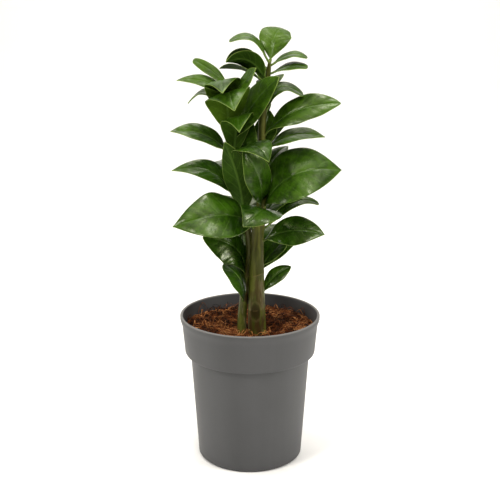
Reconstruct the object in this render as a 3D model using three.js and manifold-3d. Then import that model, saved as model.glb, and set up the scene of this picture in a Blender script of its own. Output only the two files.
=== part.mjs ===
// A dwarf ZZ plant (Zamioculcas) in a grey plastic pot: two leafy fronds rising
// from a rhizome in a coir potting mix. Millimetres, +Z up; the origin is the
// centre of the pot's underside, and -Y is the front of the plant.
import * as THREE from 'three';
import { mergeVertices } from 'three/addons/utils/BufferGeometryUtils.js';
import Module from 'manifold-3d';

// Pot
const POT_RIM_R = 65;
const POT_HEIGHT = 138;
const POT_FOOT_R = 49.1;
const POT_BODY_TOP_R = 55.7;
const POT_COLLAR_FOOT_R = 60.7;
const POT_COLLAR_TOP_R = 63.1;
const POT_COLLAR_HEIGHT = 37;
const POT_LIP_FLARE = 9;
const POT_LIP_ROUND = 0.9;
const POT_LIP_THICK = 2.4;
const POT_FLOOR = 2;
const POT_WALL = 1.7;
const POT_FOOT_ROUND = 3;
const POT_SIDES = 48;
const DRAIN_HOLE_R = 5;
const DRAIN_RING_R = 32;
const DRAIN_HOLES = 6;
const DRAIN_SIDES = 10;

// Potting mix: its level, its mounds and hollows [x, y, rise, width], and loose coir fibres
const SOIL_CLEARANCE = 0.35;
const SOIL_TOP_Z = 124;
const SOIL_MOUNDS = [
  [-34, -22, 2.0, 12], [-8, -42, 1.4, 11], [24, -38, 1.6, 11], [43, -12, 1.4, 12], [36, 22, 2.4, 13],
  [10, 44, 2.2, 12], [-22, 34, 2.6, 12], [-46, 8, 2.0, 12], [-20, 8, 1.4, 9], [26, 6, 1.2, 9],
  [22, -16, -2.6, 8], [4, -24, -1.2, 9], [-42, 30, 1.4, 9],
];
const SOIL_RINGS = 8;
const SOIL_CRUMB = 1.2;
const SOIL_EDGE_CRUMB = 0.3;
const SOIL_SEED = 23;
const FIBRE_COUNT = 44;
const FIBRE_SEED = 11;
const FIBRE_SPREAD_R = 53;
const FIBRE_LIMIT_R = 55;
const FIBRE_LENGTH = [11, 23];
const FIBRE_LIFT = [2, 4.4];
const FIBRE_HALF_W = [0.65, 1.05];
const FIBRE_BEND = 1.6;
const FIBRE_SPANS = 3;
const FIBRE_SUNK = 1;

// Rhizome: three lumps [offset x, y, z, share of the half size, squash], and thick roots
const RHIZOME_CENTRE = [1, -6, 74];
const RHIZOME_HALF = [27, 22, 24];
const RHIZOME_LUMPS = [[0, 0, 0, 1, 1], [12, -3, 7, 0.72, 0.95], [-9, -4, 6, 0.7, 1]];
const RHIZOME_TURN = 0.4;
const ROOT_COUNT = 5;
const ROOT_R = 3.2;
const ROOT_REACH = 40;
const ROOT_START_DEPTH = 14;
const ROOT_DROP = 34;
const ROOT_CURL = 0.35;
const ROOT_TAPER = [[0.3, 1], [0.55, 0.95], [0.8, 0.75], [1, 0.5]];
const BURIED_GAP = 0.4;
const STALK_HOLE_RISE = 14;

// Fronds: the axis of each stalk, from the rhizome to the tip, and its radius by height
const MAIN_AXIS = [
  [6.5, -10, 96], [6.5, -10, 110], [6.5, -10, 124], [6, -8, 153], [6, -6, 182], [6.5, -5, 200], [7, -4, 214],
  [10, -3, 240], [11.5, -1, 273], [10.5, 0, 298], [11, 0, 318], [14, 0, 340], [17, 0, 368],
];
const MAIN_RADII = [
  [96, 8.7], [122, 8.5], [153, 7.7], [200, 6.3], [240, 4.7], [300, 3.6], [340, 2.6], [362, 2.1], [368, 1.4],
];
const MAIN_SCARS = [147, 178, 226];
const MAIN_SIDES = 12;
const LEFT_AXIS = [
  [-7.6, -12, 96], [-7.6, -12, 110], [-7.6, -12, 124], [-7.2, -8, 140], [-4.5, 0, 160], [0, 5.5, 195],
  [-3, 3, 222], [-10, 0, 246], [-16, -4, 285], [-18, -5, 314], [-17.5, -5, 336], [-16, -4, 352],
];
const LEFT_RADII = [
  [96, 4.3], [122, 4.3], [160, 4.1], [200, 3.4], [246, 3], [300, 2.6], [346, 1.9], [352, 1.3],
];
const LEFT_SCARS = [156, 226];
const LEFT_SIDES = 8;
const STALK_STEP = 11;
const MIN_RING_GAP = 0.8;
const SCAR_RISE = 0.3;
const SCAR_REACH = 1.6;

// Leaflets: every blade is at least this thick at its margin
const BLADE_EDGE_T = 0.6;
const BLADE_MID_T = 1.3;
const PETIOLE_HALF_W = 1.4;
const PETIOLE_T = 2.4;
const PETIOLE_SHARE = 0.07;
const BLADE_CUP = 0.14;
const TIP_HALF_W = 0.4;
const ROOT_SUNK = 2.2;
const TWIST_SHARE = 0.25;
const BLADE_STATIONS = [0, 0.09, 0.3, 0.52, 0.72, 0.89, 1];
const BLADE_FULLNESS = [0.76, 0.98];
const BLUNT_SHIFT = 0.3;
const BLUNT_FILL = 0.42;
const WIDE_BLADE = 24;

// Each leaflet: height of its root on the stalk, tip [x, y, z], blade width, rise of the
// midrib over the chord (share of its length), turn of the blade about the midrib and
// fold of its halves (degrees), where the rise peaks (1 is the middle, more is nearer
// the tip), sideways sweep (share of the length) and bluntness (0 is drawn to a point).
const MAIN_LEAFLETS = [
  [368, [29, 24, 396], 29, 0.2, 16, 4, 1.5, 0, 1.6],
  [369, [-18, -2, 386], 16, 0.3, -20, 10, 1.3, 0, 1.5],
  [365, [50, 0, 372], 19, 0.17, 14, 10, 1.3, 0, 1.5],
  [360, [-21, 10, 369], 22, 0.25, 30, 12, 1.2, 0, 0.5],
  [353, [-21, -6, 369], 25, 0.23, 40, 12, 1.2, 0, 0.4],
  [358, [50, -6, 364], 19, 0.11, 18, 10, 1.3, 0, 1.5],
  [350, [-27, 13, 362], 24, 0.12, 18, 12, 1.2, 0, 0.5],
  [322, [47, 2, 339], 25, 0.4, 16, 12, 1.3, 0, 1.6],
  [302, [79, -12, 334], 29, 0.13, 50, 10, 0.9, 0, 0.6],
  [289, [66, -8, 304], 28, 0.15, 20, 12, 1, 0, 0.1],
  [289, [18, 12, 325], 22, 0.06, 10, 10, 1, 0, 0.3],
  [268, [35, 25, 291], 22, 0.12, 0, 14, 1, 0, 0.2],
  [237, [81, -10, 275], 60, 0.22, 42, 12, 0.96, 0.15, 0.22],
  [236, [-6, -24, 294], 29, 0.04, -106, 10, 1, -0.12, 0.7],
  [237, [-6, -46, 232], 40, 0.2, -10, 8, 1.1, -0.22, 0.2],
  [219, [63, 8, 240], 15, 0.19, 24, 14, 1.6, 0, 1.6],
  [219, [-68, -30, 228], 51, 0.19, -41, 11, 0.81, -0.15, -0.06],
  [208, [67, -14, 217], 30, 0.12, 52, 8, 1, 0, 0.2],
  [182, [37, 20, 209], 20, 0.03, 10, 12, 1, 0, 0.2],
  [158, [38, 4, 182], 16, 0.11, 40, 10, 1, -0.01, 0.8],
  [176, [41, 44, 212], 40, 0.14, 16, 12, 1, 0, 0.3],
  [222, [44, 44, 245], 38, 0.16, -8, 10, 1, 0, 0.2],
  [258, [2, 56, 286], 38, 0.15, 12, 12, 1, 0, 0.2],
  [286, [32, 44, 312], 31, 0.2, -14, 12, 1, 0, 0.3],
  [312, [-2, 46, 334], 31, 0.2, 16, 12, 1, 0, 0.3],
  [332, [24, 42, 350], 26, 0.24, -10, 12, 1, 0, 0.4],
  [346, [-2, 36, 362], 22, 0.22, 10, 12, 1, 0, 0.4],
];
const LEFT_LEAFLETS = [
  [341, [-50, 5, 370], 12, 0.09, -45, 10, 0.85, 0.03, 1.6],
  [337, [-64, -4, 353], 17, 0.14, -32, 14, 1, 0, 0.1],
  [340, [5, -34, 366], 19, 0, 68, 10, 1, -0.05, 0.1],
  [325, [-55, 6, 332], 21, 0.34, -12, 14, 1.3, 0, 0.3],
  [312, [-23, -44, 346], 33, 0.5, 12, 6, 1.3, 0.1, 0.3],
  [304, [-13, -48, 332], 42, 0.52, 16, 6, 1.3, 0.06, 0.3],
  [294, [25, -16, 357], 31, 0.08, 55, 8, 1, -0.05, 0.6],
  [290, [16, -44, 288], 35, 0.21, 10, 10, 1.5, 0, 0.2],
  [284, [-9, -48, 314], 31, 0.46, 14, 6, 1.3, -0.05, 0.2],
  [286, [-70, -8, 309], 26, 0.15, -30, 14, 1, 0, 0.2],
  [241, [-70, -2, 273], 27, 0.22, -34, 14, 1, 0, 0.1],
  [229, [-22, -21, 302], 29, 0, 20, 14, 1, -0.06, 0.3],
  [262, [2, 4, 318], 30, 0.06, 50, 10, 1, 0, 0.3],
  [166, [-43, -5.6, 212], 42, 0.26, -54, 9, 0.91, 0.06, 0.9],
  [148, [-24, -6, 188], 33, 0.19, -22, 7, 0.9, -0.13, 1.2],
  [208, [-10, 60, 241], 34, 0.15, -12, 10, 1, 0, 0.2],
  [176, [-28, 56, 191], 36, 0.16, 12, 12, 1, 0, 0.3],
  [214, [-46, 34, 238], 36, 0.16, -16, 12, 1, 0, 0.3],
  [256, [-30, 42, 274], 33, 0.18, -12, 12, 1, 0, 0.3],
  [298, [-18, 44, 316], 29, 0.2, 14, 12, 1, 0, 0.3],
  [322, [-34, 32, 336], 24, 0.22, -10, 12, 1, 0, 0.4],
];

const wasm = await Module();
wasm.setup();
const { sin, cos, PI, min, max, abs, hypot, exp } = Math;

// A steady stream of draws between 0 and 1 from one whole-number seed.
function draws(seed) {
  let state = seed >>> 0;
  return () => {
    state = (state + 0x6d2b79f5) >>> 0;
    let t = Math.imul(state ^ (state >>> 15), 1 | state);
    t = (t + Math.imul(t ^ (t >>> 7), 61 | t)) ^ t;
    return ((t ^ (t >>> 14)) >>> 0) / 4294967296;
  };
}

// Value at x on the broken line through [x, value] pairs.
function along(pairs, x) {
  if (x <= pairs[0][0]) return pairs[0][1];
  for (let i = 1; i < pairs.length; i++) {
    const [x0, v0] = pairs[i - 1];
    const [x1, v1] = pairs[i];
    if (x <= x1) return v0 + ((v1 - v0) * (x - x0)) / (x1 - x0);
  }
  return pairs[pairs.length - 1][1];
}

function solidOf(geometry) {
  const bare = geometry.clone();
  bare.deleteAttribute('normal');
  bare.deleteAttribute('uv');
  const merged = mergeVertices(bare, 1e-4);
  return new wasm.Manifold(new wasm.Mesh({
    numProp: 3,
    vertProperties: new Float32Array(merged.attributes.position.array),
    triVerts: new Uint32Array(merged.index.array),
  }));
}

function geometryOf(solid) {
  const mesh = solid.getMesh();
  const geometry = new THREE.BufferGeometry();
  geometry.setAttribute('position', new THREE.BufferAttribute(new Float32Array(mesh.vertProperties), 3));
  geometry.setIndex(new THREE.BufferAttribute(new Uint32Array(mesh.triVerts), 1));
  return geometry;
}

function indexedGeometry(points, faces) {
  const geometry = new THREE.BufferGeometry();
  geometry.setAttribute('position', new THREE.Float32BufferAttribute(points.flat(), 3));
  geometry.setIndex(faces.flat());
  return geometry;
}

// The largest closed surface of a solid: pockets that fusing sealed are filled, scraps dropped.
function largestBody(solid) {
  const { vertProperties, triVerts } = solid.getMesh();
  const parent = Array.from({ length: vertProperties.length / 3 }, (_, i) => i);
  const find = (i) => {
    while (parent[i] !== i) i = parent[i] = parent[parent[i]];
    return i;
  };
  for (let t = 0; t < triVerts.length; t += 3) {
    parent[find(triVerts[t])] = find(triVerts[t + 1]);
    parent[find(triVerts[t + 1])] = find(triVerts[t + 2]);
  }
  const sizes = new Map();
  for (const v of triVerts) sizes.set(find(v), (sizes.get(find(v)) ?? 0) + 1);
  const main = [...sizes.entries()].sort((a, b) => b[1] - a[1])[0][0];
  const kept = [];
  for (let t = 0; t < triVerts.length; t += 3) {
    if (find(triVerts[t]) === main) kept.push(triVerts[t], triVerts[t + 1], triVerts[t + 2]);
  }
  const geometry = new THREE.BufferGeometry();
  geometry.setAttribute('position', new THREE.BufferAttribute(new Float32Array(vertProperties), 3));
  geometry.setIndex(kept);
  return solidOf(geometry);
}

// A skin over rings of equal length, closed at both ends by a fan to a centre point.
// Rings run anticlockwise as seen from the last one.
function skinRings(rings, startCentre, endCentre) {
  const sides = rings[0].length;
  const points = rings.flat();
  const faces = [];
  for (let i = 0; i + 1 < rings.length; i++) {
    for (let j = 0; j < sides; j++) {
      const k = (j + 1) % sides;
      const [a, b, c, d] = [i * sides + j, i * sides + k, (i + 1) * sides + k, (i + 1) * sides + j];
      faces.push([a, b, c], [a, c, d]);
    }
  }
  const start = points.push(startCentre) - 1;
  const end = points.push(endCentre) - 1;
  const last = (rings.length - 1) * sides;
  for (let j = 0; j < sides; j++) {
    const k = (j + 1) % sides;
    faces.push([start, k, j], [end, last + j, last + k]);
  }
  return indexedGeometry(points, faces);
}

// A round tube with its own radius at each centre; its rings stand square to the path,
// turned so that their first corner lies square to a steady direction.
function tube(centres, radii, sides, steady = [0, 1, 0]) {
  const up = new THREE.Vector3(...steady);
  const rings = centres.map((centre, i) => {
    const before = new THREE.Vector3(...centres[max(i - 1, 0)]);
    const after = new THREE.Vector3(...centres[min(i + 1, centres.length - 1)]);
    const run = after.sub(before).normalize();
    const across = new THREE.Vector3().crossVectors(up, run).normalize();
    const front = new THREE.Vector3().crossVectors(run, across);
    return Array.from({ length: sides }, (_, j) => {
      const turn = (2 * PI * j) / sides;
      const reach = across.clone().multiplyScalar(cos(turn)).addScaledVector(front, sin(turn));
      return reach.multiplyScalar(radii[i]).add(new THREE.Vector3(...centre)).toArray();
    });
  });
  return skinRings(rings, centres[0], centres[centres.length - 1]);
}

function lathe(profile, sides) {
  const geometry = new THREE.LatheGeometry(profile.map(([r, z]) => new THREE.Vector2(r, z)), sides);
  return geometry.rotateX(PI / 2);
}

// Pot: a tapered body, a wider collar that hides the nesting step, and a lip that flares
// out of the collar. Each outline point is a radius and a height.
const collarFootZ = POT_HEIGHT - POT_COLLAR_HEIGHT;
const flareFootZ = POT_HEIGHT - POT_LIP_FLARE;
const stepFootZ = collarFootZ + 1.5;
const stepTopZ = collarFootZ + 3.2;
const lipInnerR = POT_RIM_R - POT_LIP_THICK;
const innerWall = [
  [POT_FOOT_R - POT_WALL - 0.6, POT_FLOOR],
  [POT_BODY_TOP_R - POT_WALL, stepFootZ],
  [POT_COLLAR_FOOT_R - POT_WALL, stepTopZ],
  [POT_COLLAR_TOP_R - POT_WALL, flareFootZ],
];
function potGeometry() {
  const shell = lathe([
    [0, 0],
    [POT_FOOT_R - POT_FOOT_ROUND, 0],
    [POT_FOOT_R - 0.3 * POT_FOOT_ROUND, 0.3 * POT_FOOT_ROUND],
    [POT_FOOT_R, POT_FOOT_ROUND],
    [POT_BODY_TOP_R, collarFootZ],
    [POT_COLLAR_FOOT_R - 2, collarFootZ + 0.4],
    [POT_COLLAR_FOOT_R - 0.5, collarFootZ + 1.3],
    [POT_COLLAR_FOOT_R, collarFootZ + 3],
    [POT_COLLAR_TOP_R, flareFootZ],
    [POT_RIM_R - POT_LIP_ROUND, POT_HEIGHT - 0.5 * POT_LIP_FLARE],
    [POT_RIM_R, POT_HEIGHT - 0.3 * POT_LIP_FLARE],
    [POT_RIM_R, POT_HEIGHT - POT_LIP_ROUND],
    [POT_RIM_R - POT_LIP_ROUND, POT_HEIGHT],
    [lipInnerR + POT_LIP_ROUND, POT_HEIGHT],
    [lipInnerR, POT_HEIGHT - POT_LIP_ROUND],
    ...innerWall.slice().reverse(),
    [0, POT_FLOOR],
  ], POT_SIDES);
  let pot = solidOf(shell);
  for (let k = 0; k < DRAIN_HOLES; k++) {
    const turn = (2 * PI * k) / DRAIN_HOLES;
    const hole = new THREE.CylinderGeometry(DRAIN_HOLE_R, DRAIN_HOLE_R, 4 * POT_FLOOR, DRAIN_SIDES)
      .rotateX(PI / 2)
      .translate(DRAIN_RING_R * cos(turn), DRAIN_RING_R * sin(turn), POT_FLOOR / 2);
    pot = pot.subtract(solidOf(hole));
  }
  return geometryOf(pot);
}

// Stalks
function axisCurve(axis) {
  return new THREE.CatmullRomCurve3(axis.map((p) => new THREE.Vector3(...p)), false, 'centripetal');
}
function axisPoint(samples, z) {
  const upper = samples.findIndex((p) => p.z >= z);
  if (upper <= 0) return samples[upper === 0 ? 0 : samples.length - 1].clone();
  const [a, b] = [samples[upper - 1], samples[upper]];
  return a.clone().lerp(b, (z - a.z) / (b.z - a.z));
}
const mainSamples = axisCurve(MAIN_AXIS).getPoints(400);
const leftSamples = axisCurve(LEFT_AXIS).getPoints(400);

// The stalk: rings every few millimetres, with a slight swelling at each scar.
function stalkGeometry(samples, radii, scars, sides) {
  const endZ = samples[samples.length - 1].z;
  const stops = scars.flatMap((scar) => [-1, 0, 1].map((k) => scar + k * SCAR_REACH));
  for (let z = samples[0].z; z < endZ - 0.5 * STALK_STEP; z += STALK_STEP) stops.push(z);
  stops.push(endZ);
  const heights = stops.sort((a, b) => a - b).filter((z, i, all) => i === 0 || z - all[i - 1] > MIN_RING_GAP);
  const centres = heights.map((z) => axisPoint(samples, z).toArray());
  const widths = heights.map((z) => {
    const near = min(...scars.map((scar) => abs(scar - z)));
    return along(radii, z) + SCAR_RISE * exp(-2 * (near / SCAR_REACH) ** 2);
  });
  return tube(centres, widths, sides);
}

// A leaflet: a midrib that arches off its chord, and across it a blade whose half width
// swells and narrows again, folded and cupped, thick at the midrib and thin at the margin.
function leafletGeometry(samples, radii, [rootZ, tip, width, arch, roll, fold, skew, sweep, blunt]) {
  const axis = axisPoint(samples, rootZ);
  const tipPoint = new THREE.Vector3(...tip);
  const out = tipPoint.clone().sub(axis).setZ(0).normalize();
  const root = axis.addScaledVector(out, max(0, along(radii, rootZ) - ROOT_SUNK));
  const chord = tipPoint.clone().sub(root);
  const length = chord.length();
  chord.divideScalar(length);
  const up0 = new THREE.Vector3(0, 0, 1).addScaledVector(chord, -chord.z).normalize();
  const side0 = new THREE.Vector3().crossVectors(chord, up0);
  const midrib = (s) => {
    const t = s ** skew;
    return root.clone()
      .addScaledVector(chord, s * length)
      .addScaledVector(up0, arch * length * 4 * t * (1 - t))
      .addScaledVector(side0, sweep * length * 4 * s * (1 - s));
  };
  const strips = width > WIDE_BLADE ? 4 : 2;
  const columns = strips + 1;
  const foldCos = cos((fold * PI) / 180);
  const foldSin = sin((fold * PI) / 180);
  const rows = [];
  for (const s of BLADE_STATIONS) {
    const centre = midrib(s);
    const run = midrib(s + 1e-3).sub(midrib(max(s - 1e-3, 0))).normalize();
    const side = side0.clone().addScaledVector(run, -side0.dot(run)).normalize();
    const up = new THREE.Vector3().crossVectors(side, run);
    const turn = ((roll * PI) / 180) * min(s / TWIST_SHARE, 1);
    const upTurned = up.clone().multiplyScalar(cos(turn)).addScaledVector(side, sin(turn));
    const sideTurned = side.clone().multiplyScalar(cos(turn)).addScaledVector(up, -sin(turn));
    const t = max(0, (s - PETIOLE_SHARE) / (1 - PETIOLE_SHARE));
    const fullness = BLADE_FULLNESS[0] + (BLADE_FULLNESS[1] - BLADE_FULLNESS[0]) * t;
    const rise = max(0, sin(PI * t ** (0.95 + BLUNT_SHIFT * blunt)));
    const swell = rise ** (fullness * (1 - BLUNT_FILL * blunt * t));
    const half = max((width / 2) * swell, s < PETIOLE_SHARE * 1.2 ? PETIOLE_HALF_W : TIP_HALF_W);
    const stem = max(0, 1 - s / (3 * PETIOLE_SHARE));
    const top = [];
    const bottom = [];
    for (let j = 0; j < columns; j++) {
      const v = (2 * j) / strips - 1;
      const point = centre.clone()
        .addScaledVector(sideTurned, half * v * foldCos)
        .addScaledVector(upTurned, half * (abs(v) * foldSin - BLADE_CUP * v * v));
      const blade = BLADE_EDGE_T + (BLADE_MID_T - BLADE_EDGE_T) * (1 - abs(v) ** 1.5) * (1 - 0.5 * s);
      const thick = blade + (PETIOLE_T - blade) * stem * (1 - 0.5 * v * v);
      top.push(point.clone().addScaledVector(upTurned, thick / 2).toArray());
      bottom.push(point.clone().addScaledVector(upTurned, -thick / 2).toArray());
    }
    rows.push([top, bottom]);
  }
  const points = rows.flat(2);
  const at = (i, face, j) => (i * 2 + face) * columns + j;
  const faces = [];
  const quad = (a, b, c, d) => faces.push([a, b, c], [a, c, d]);
  const end = BLADE_STATIONS.length - 1;
  for (let i = 0; i < end; i++) {
    for (let j = 0; j < strips; j++) {
      quad(at(i, 0, j), at(i, 0, j + 1), at(i + 1, 0, j + 1), at(i + 1, 0, j));
      faces.push([at(i, 1, j), at(i + 1, 1, j + 1), at(i, 1, j + 1)]);
      faces.push([at(i, 1, j), at(i + 1, 1, j), at(i + 1, 1, j + 1)]);
    }
    quad(at(i, 0, 0), at(i + 1, 0, 0), at(i + 1, 1, 0), at(i, 1, 0));
    quad(at(i, 0, columns - 1), at(i, 1, columns - 1), at(i + 1, 1, columns - 1), at(i + 1, 0, columns - 1));
  }
  for (let j = 0; j < strips; j++) {
    quad(at(0, 0, j), at(0, 1, j), at(0, 1, j + 1), at(0, 0, j + 1));
    quad(at(end, 0, j), at(end, 0, j + 1), at(end, 1, j + 1), at(end, 1, j));
  }
  return indexedGeometry(points, faces);
}

function frondSolid(samples, radii, scars, sides, leaflets) {
  const stalk = solidOf(stalkGeometry(samples, radii, scars, sides));
  const blades = leaflets.map((row) => solidOf(leafletGeometry(samples, radii, row)));
  return largestBody(blades.reduce((frond, blade) => frond.add(blade), stalk));
}

// Rhizome: three fused lumps with short thick roots, sockets on top for the stalks.
function rhizomeSolid(extra) {
  const [cx, cy, cz] = RHIZOME_CENTRE;
  const [hx, hy, hz] = RHIZOME_HALF;
  const lumps = RHIZOME_LUMPS.map(([dx, dy, dz, share, squash]) => solidOf(new THREE.SphereGeometry(1, 10, 6)
    .scale(hx * share + extra, hy * share + extra, hz * share * squash + extra)
    .rotateZ(RHIZOME_TURN)
    .translate(cx + dx, cy + dy, cz + dz)));
  const roots = Array.from({ length: ROOT_COUNT }, (_, k) => {
    const turn = (2 * PI * (k + 0.3)) / ROOT_COUNT;
    const path = ROOT_TAPER.map(([share]) => [
      cx + ROOT_REACH * share * cos(turn + ROOT_CURL * share),
      cy * (1 - share) + ROOT_REACH * share * sin(turn + ROOT_CURL * share),
      cz - ROOT_START_DEPTH - ROOT_DROP * share * share,
    ]);
    const widths = ROOT_TAPER.map(([, taper]) => ROOT_R * taper + extra);
    return solidOf(tube(path, widths, 5, [0, 0, 1]));
  });
  return [...lumps, ...roots].reduce((body, piece) => body.add(piece));
}

// The hole that a stalk stands in: its buried stretch, wider and deeper by a gap.
function stalkHole(samples, radii, sides, gap) {
  const top = SOIL_TOP_Z + STALK_HOLE_RISE;
  const heights = [samples[0].z - gap];
  for (let z = samples[0].z; z < top; z += STALK_STEP) heights.push(z);
  heights.push(top);
  const centres = heights.map((z) => axisPoint(samples, z).setZ(z).toArray());
  return solidOf(tube(centres, heights.map((z) => along(radii, z) + gap), sides));
}

// Potting mix: it fills the pot and ends in a crumbly, mounded top with loose coir fibres.
function soilHeight(x, y) {
  const ripple = 0.4 * sin(x * 0.9 + 1.3) * sin(y * 0.8 + 0.4);
  return SOIL_MOUNDS.reduce((height, [mx, my, rise, wide]) => {
    const far = hypot(x - mx, y - my) / wide;
    return height + rise * exp(-far * far);
  }, SOIL_TOP_Z + ripple);
}
function soilSolid() {
  const crumb = draws(SOIL_SEED);
  const wallR = (z) => along(innerWall.map(([r, h]) => [h, r]), z) - SOIL_CLEARANCE - 0.1;
  const ringAt = (r, heightOf) => Array.from({ length: POT_SIDES }, (_, j) => {
    const turn = (2 * PI * j) / POT_SIDES;
    const [x, y] = [r * cos(turn), r * sin(turn)];
    return [x, y, heightOf(x, y)];
  });
  const foot = POT_FLOOR + SOIL_CLEARANCE;
  const rings = [
    ringAt(wallR(foot), () => foot),
    ringAt(wallR(stepFootZ), () => stepFootZ + SOIL_CLEARANCE),
    ringAt(wallR(stepTopZ), () => stepTopZ + 2 * SOIL_CLEARANCE),
  ];
  const topR = wallR(SOIL_TOP_Z);
  for (let i = 0; i < SOIL_RINGS; i++) {
    const r = topR * (1 - i / SOIL_RINGS);
    const rough = i === 0 ? SOIL_EDGE_CRUMB : SOIL_CRUMB;
    rings.push(ringAt(r, (x, y) => soilHeight(x, y) + rough * (2 * crumb() - 1)));
  }
  const top = [0, 0, soilHeight(0, 0)];
  return solidOf(skinRings(rings, [0, 0, foot], top));
}
function fibreSolid() {
  const draw = draws(FIBRE_SEED);
  const fibres = [];
  for (let k = 0; k < FIBRE_COUNT; k++) {
    const turn = 2 * PI * draw();
    const reach = FIBRE_SPREAD_R * draw() ** 0.5;
    const [x, y] = [reach * cos(turn), reach * sin(turn)];
    const heading = 2 * PI * draw();
    const bend = FIBRE_BEND * (draw() - 0.5);
    const between = ([low, high]) => low + (high - low) * draw();
    const length = between(FIBRE_LENGTH);
    const lift = between(FIBRE_LIFT);
    const width = between(FIBRE_HALF_W);
    const path = [];
    for (let i = 0; i <= FIBRE_SPANS; i++) {
      const s = i / FIBRE_SPANS - 0.5;
      const way = heading + bend * s;
      const px = x + length * s * cos(way);
      const py = y + length * s * sin(way);
      const inside = min(1, FIBRE_LIMIT_R / hypot(px, py));
      const arc = lift * (1 - 4 * s * s);
      path.push([px * inside, py * inside, soilHeight(px * inside, py * inside) - FIBRE_SUNK + arc]);
    }
    fibres.push(solidOf(tube(path, [width * 0.6, width, width, width * 0.6], 3, [0, 0, 1])));
  }
  return fibres.reduce((mat, fibre) => mat.add(fibre));
}

const mainFrond = frondSolid(mainSamples, MAIN_RADII, MAIN_SCARS, MAIN_SIDES, MAIN_LEAFLETS);
const leftFrond = frondSolid(leftSamples, LEFT_RADII, LEFT_SCARS, LEFT_SIDES, LEFT_LEAFLETS);
const mainHole = stalkHole(mainSamples, MAIN_RADII, MAIN_SIDES, BURIED_GAP);
const leftHole = stalkHole(leftSamples, LEFT_RADII, LEFT_SIDES, BURIED_GAP);
const rhizome = rhizomeSolid(0).subtract(mainHole).subtract(leftHole);
const soilCavity = rhizomeSolid(BURIED_GAP).add(mainHole).add(leftHole);
const soil = largestBody(largestBody(soilSolid().add(fibreSolid())).subtract(soilCavity));

const finishes = {
  pot: new THREE.MeshStandardMaterial({ color: 0x66676b, roughness: 0.55, metalness: 0 }),
  substrate: new THREE.MeshStandardMaterial({ color: 0x5a2f1c, roughness: 0.95, metalness: 0 }),
  rhizome: new THREE.MeshStandardMaterial({ color: 0xb59a6c, roughness: 0.8, metalness: 0 }),
  frond_main: new THREE.MeshStandardMaterial({ color: 0x2f6b1f, roughness: 0.35, metalness: 0 }),
  frond_left: new THREE.MeshStandardMaterial({ color: 0x37752a, roughness: 0.35, metalness: 0 }),
};
const shapes = {
  pot: potGeometry(),
  substrate: geometryOf(soil),
  rhizome: geometryOf(rhizome),
  frond_main: geometryOf(mainFrond),
  frond_left: geometryOf(leftFrond),
};
const plant = new THREE.Group();
for (const [name, shape] of Object.entries(shapes)) {
  const piece = new THREE.Mesh(shape, finishes[name]);
  piece.name = name;
  plant.add(piece);
}

export default plant;
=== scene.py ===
"""A dwarf ZZ plant in a grey plastic pot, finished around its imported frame."""
import math

import bpy
import numpy as np
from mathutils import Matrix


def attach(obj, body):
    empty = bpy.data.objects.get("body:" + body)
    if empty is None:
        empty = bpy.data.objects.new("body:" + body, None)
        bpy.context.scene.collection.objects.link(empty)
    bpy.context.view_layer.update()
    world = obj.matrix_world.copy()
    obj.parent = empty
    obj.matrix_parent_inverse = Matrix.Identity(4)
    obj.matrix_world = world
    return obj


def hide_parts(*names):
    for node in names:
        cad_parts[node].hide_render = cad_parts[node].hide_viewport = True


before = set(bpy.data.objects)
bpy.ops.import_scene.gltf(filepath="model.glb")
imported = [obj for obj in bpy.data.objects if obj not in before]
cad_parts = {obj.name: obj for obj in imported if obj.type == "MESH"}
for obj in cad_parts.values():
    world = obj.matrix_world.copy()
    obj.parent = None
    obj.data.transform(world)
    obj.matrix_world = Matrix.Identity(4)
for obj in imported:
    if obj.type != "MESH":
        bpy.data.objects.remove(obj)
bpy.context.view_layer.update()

MM = 0.001  # the object's sizes are written in millimetres and brought to metres by this


# Pot
# The real pot is one thin moulding of grey polypropylene: a tapered body, a wider
# collar that lets pots nest, a rolled lip, and drain holes through its flat floor.
POT_HEIGHT = 138
LIP_R = 65
LIP_FLARE = 9
LIP_THICK = 2.4
LIP_ROUND = 1.1
FOOT_R = 49.1
FOOT_DRAFT = 0.2
FOOT_ROUND = 2.8
BODY_TOP_R = 55.7
COLLAR_FOOT_R = 60.7
COLLAR_TOP_R = 63.1
COLLAR_HEIGHT = 37
SHOULDER_RISE = 0.6
SHOULDER_ROUND = 2.4
WALL = 1.7
FLOOR = 2
POT_SIDES = 192

# Inside, the wall steps out to the collar between INNER_STEP_LOW and INNER_STEP_HIGH
# above the collar's foot, and is thicker by FOOT_THICKER at the floor.
INNER_STEP_LOW = 1.5
INNER_STEP_HIGH = 3.2
INNER_ROUND = 1.5
FOOT_THICKER = 0.6

DRAIN_HOLES = 6
DRAIN_R = 5
DRAIN_RING_R = 32
DRAIN_SIDES = 40
DRILL_LOW = -3.0
DRILL_HIGH = 6.0

# A colour pair gives the darker and the lighter tone of one finish.
GREY = (0.050, 0.051, 0.053), (0.066, 0.067, 0.070)

# The lip is painted paler as a highlight where its top catches the light: it pales from the first of these
# depths below its top up to the second.
PAINTED_LIP_HIGHLIGHT = (0.17, 0.165, 0.16)
LIP_HIGHLIGHT_FROM = 1.6
LIP_HIGHLIGHT_FULL = 0.2


def smooth_mesh(name, points, faces):
    """A smooth mesh object at the origin from points in millimetres and lists of corner numbers."""
    mesh = bpy.data.meshes.new(name)
    mesh.from_pydata((np.asarray(points) * MM).tolist(), [], faces)
    mesh.polygons.foreach_set("use_smooth", np.full(len(mesh.polygons), True))
    mesh.update()
    piece = bpy.data.objects.new(name, mesh)
    bpy.context.scene.collection.objects.link(piece)
    return piece


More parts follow.
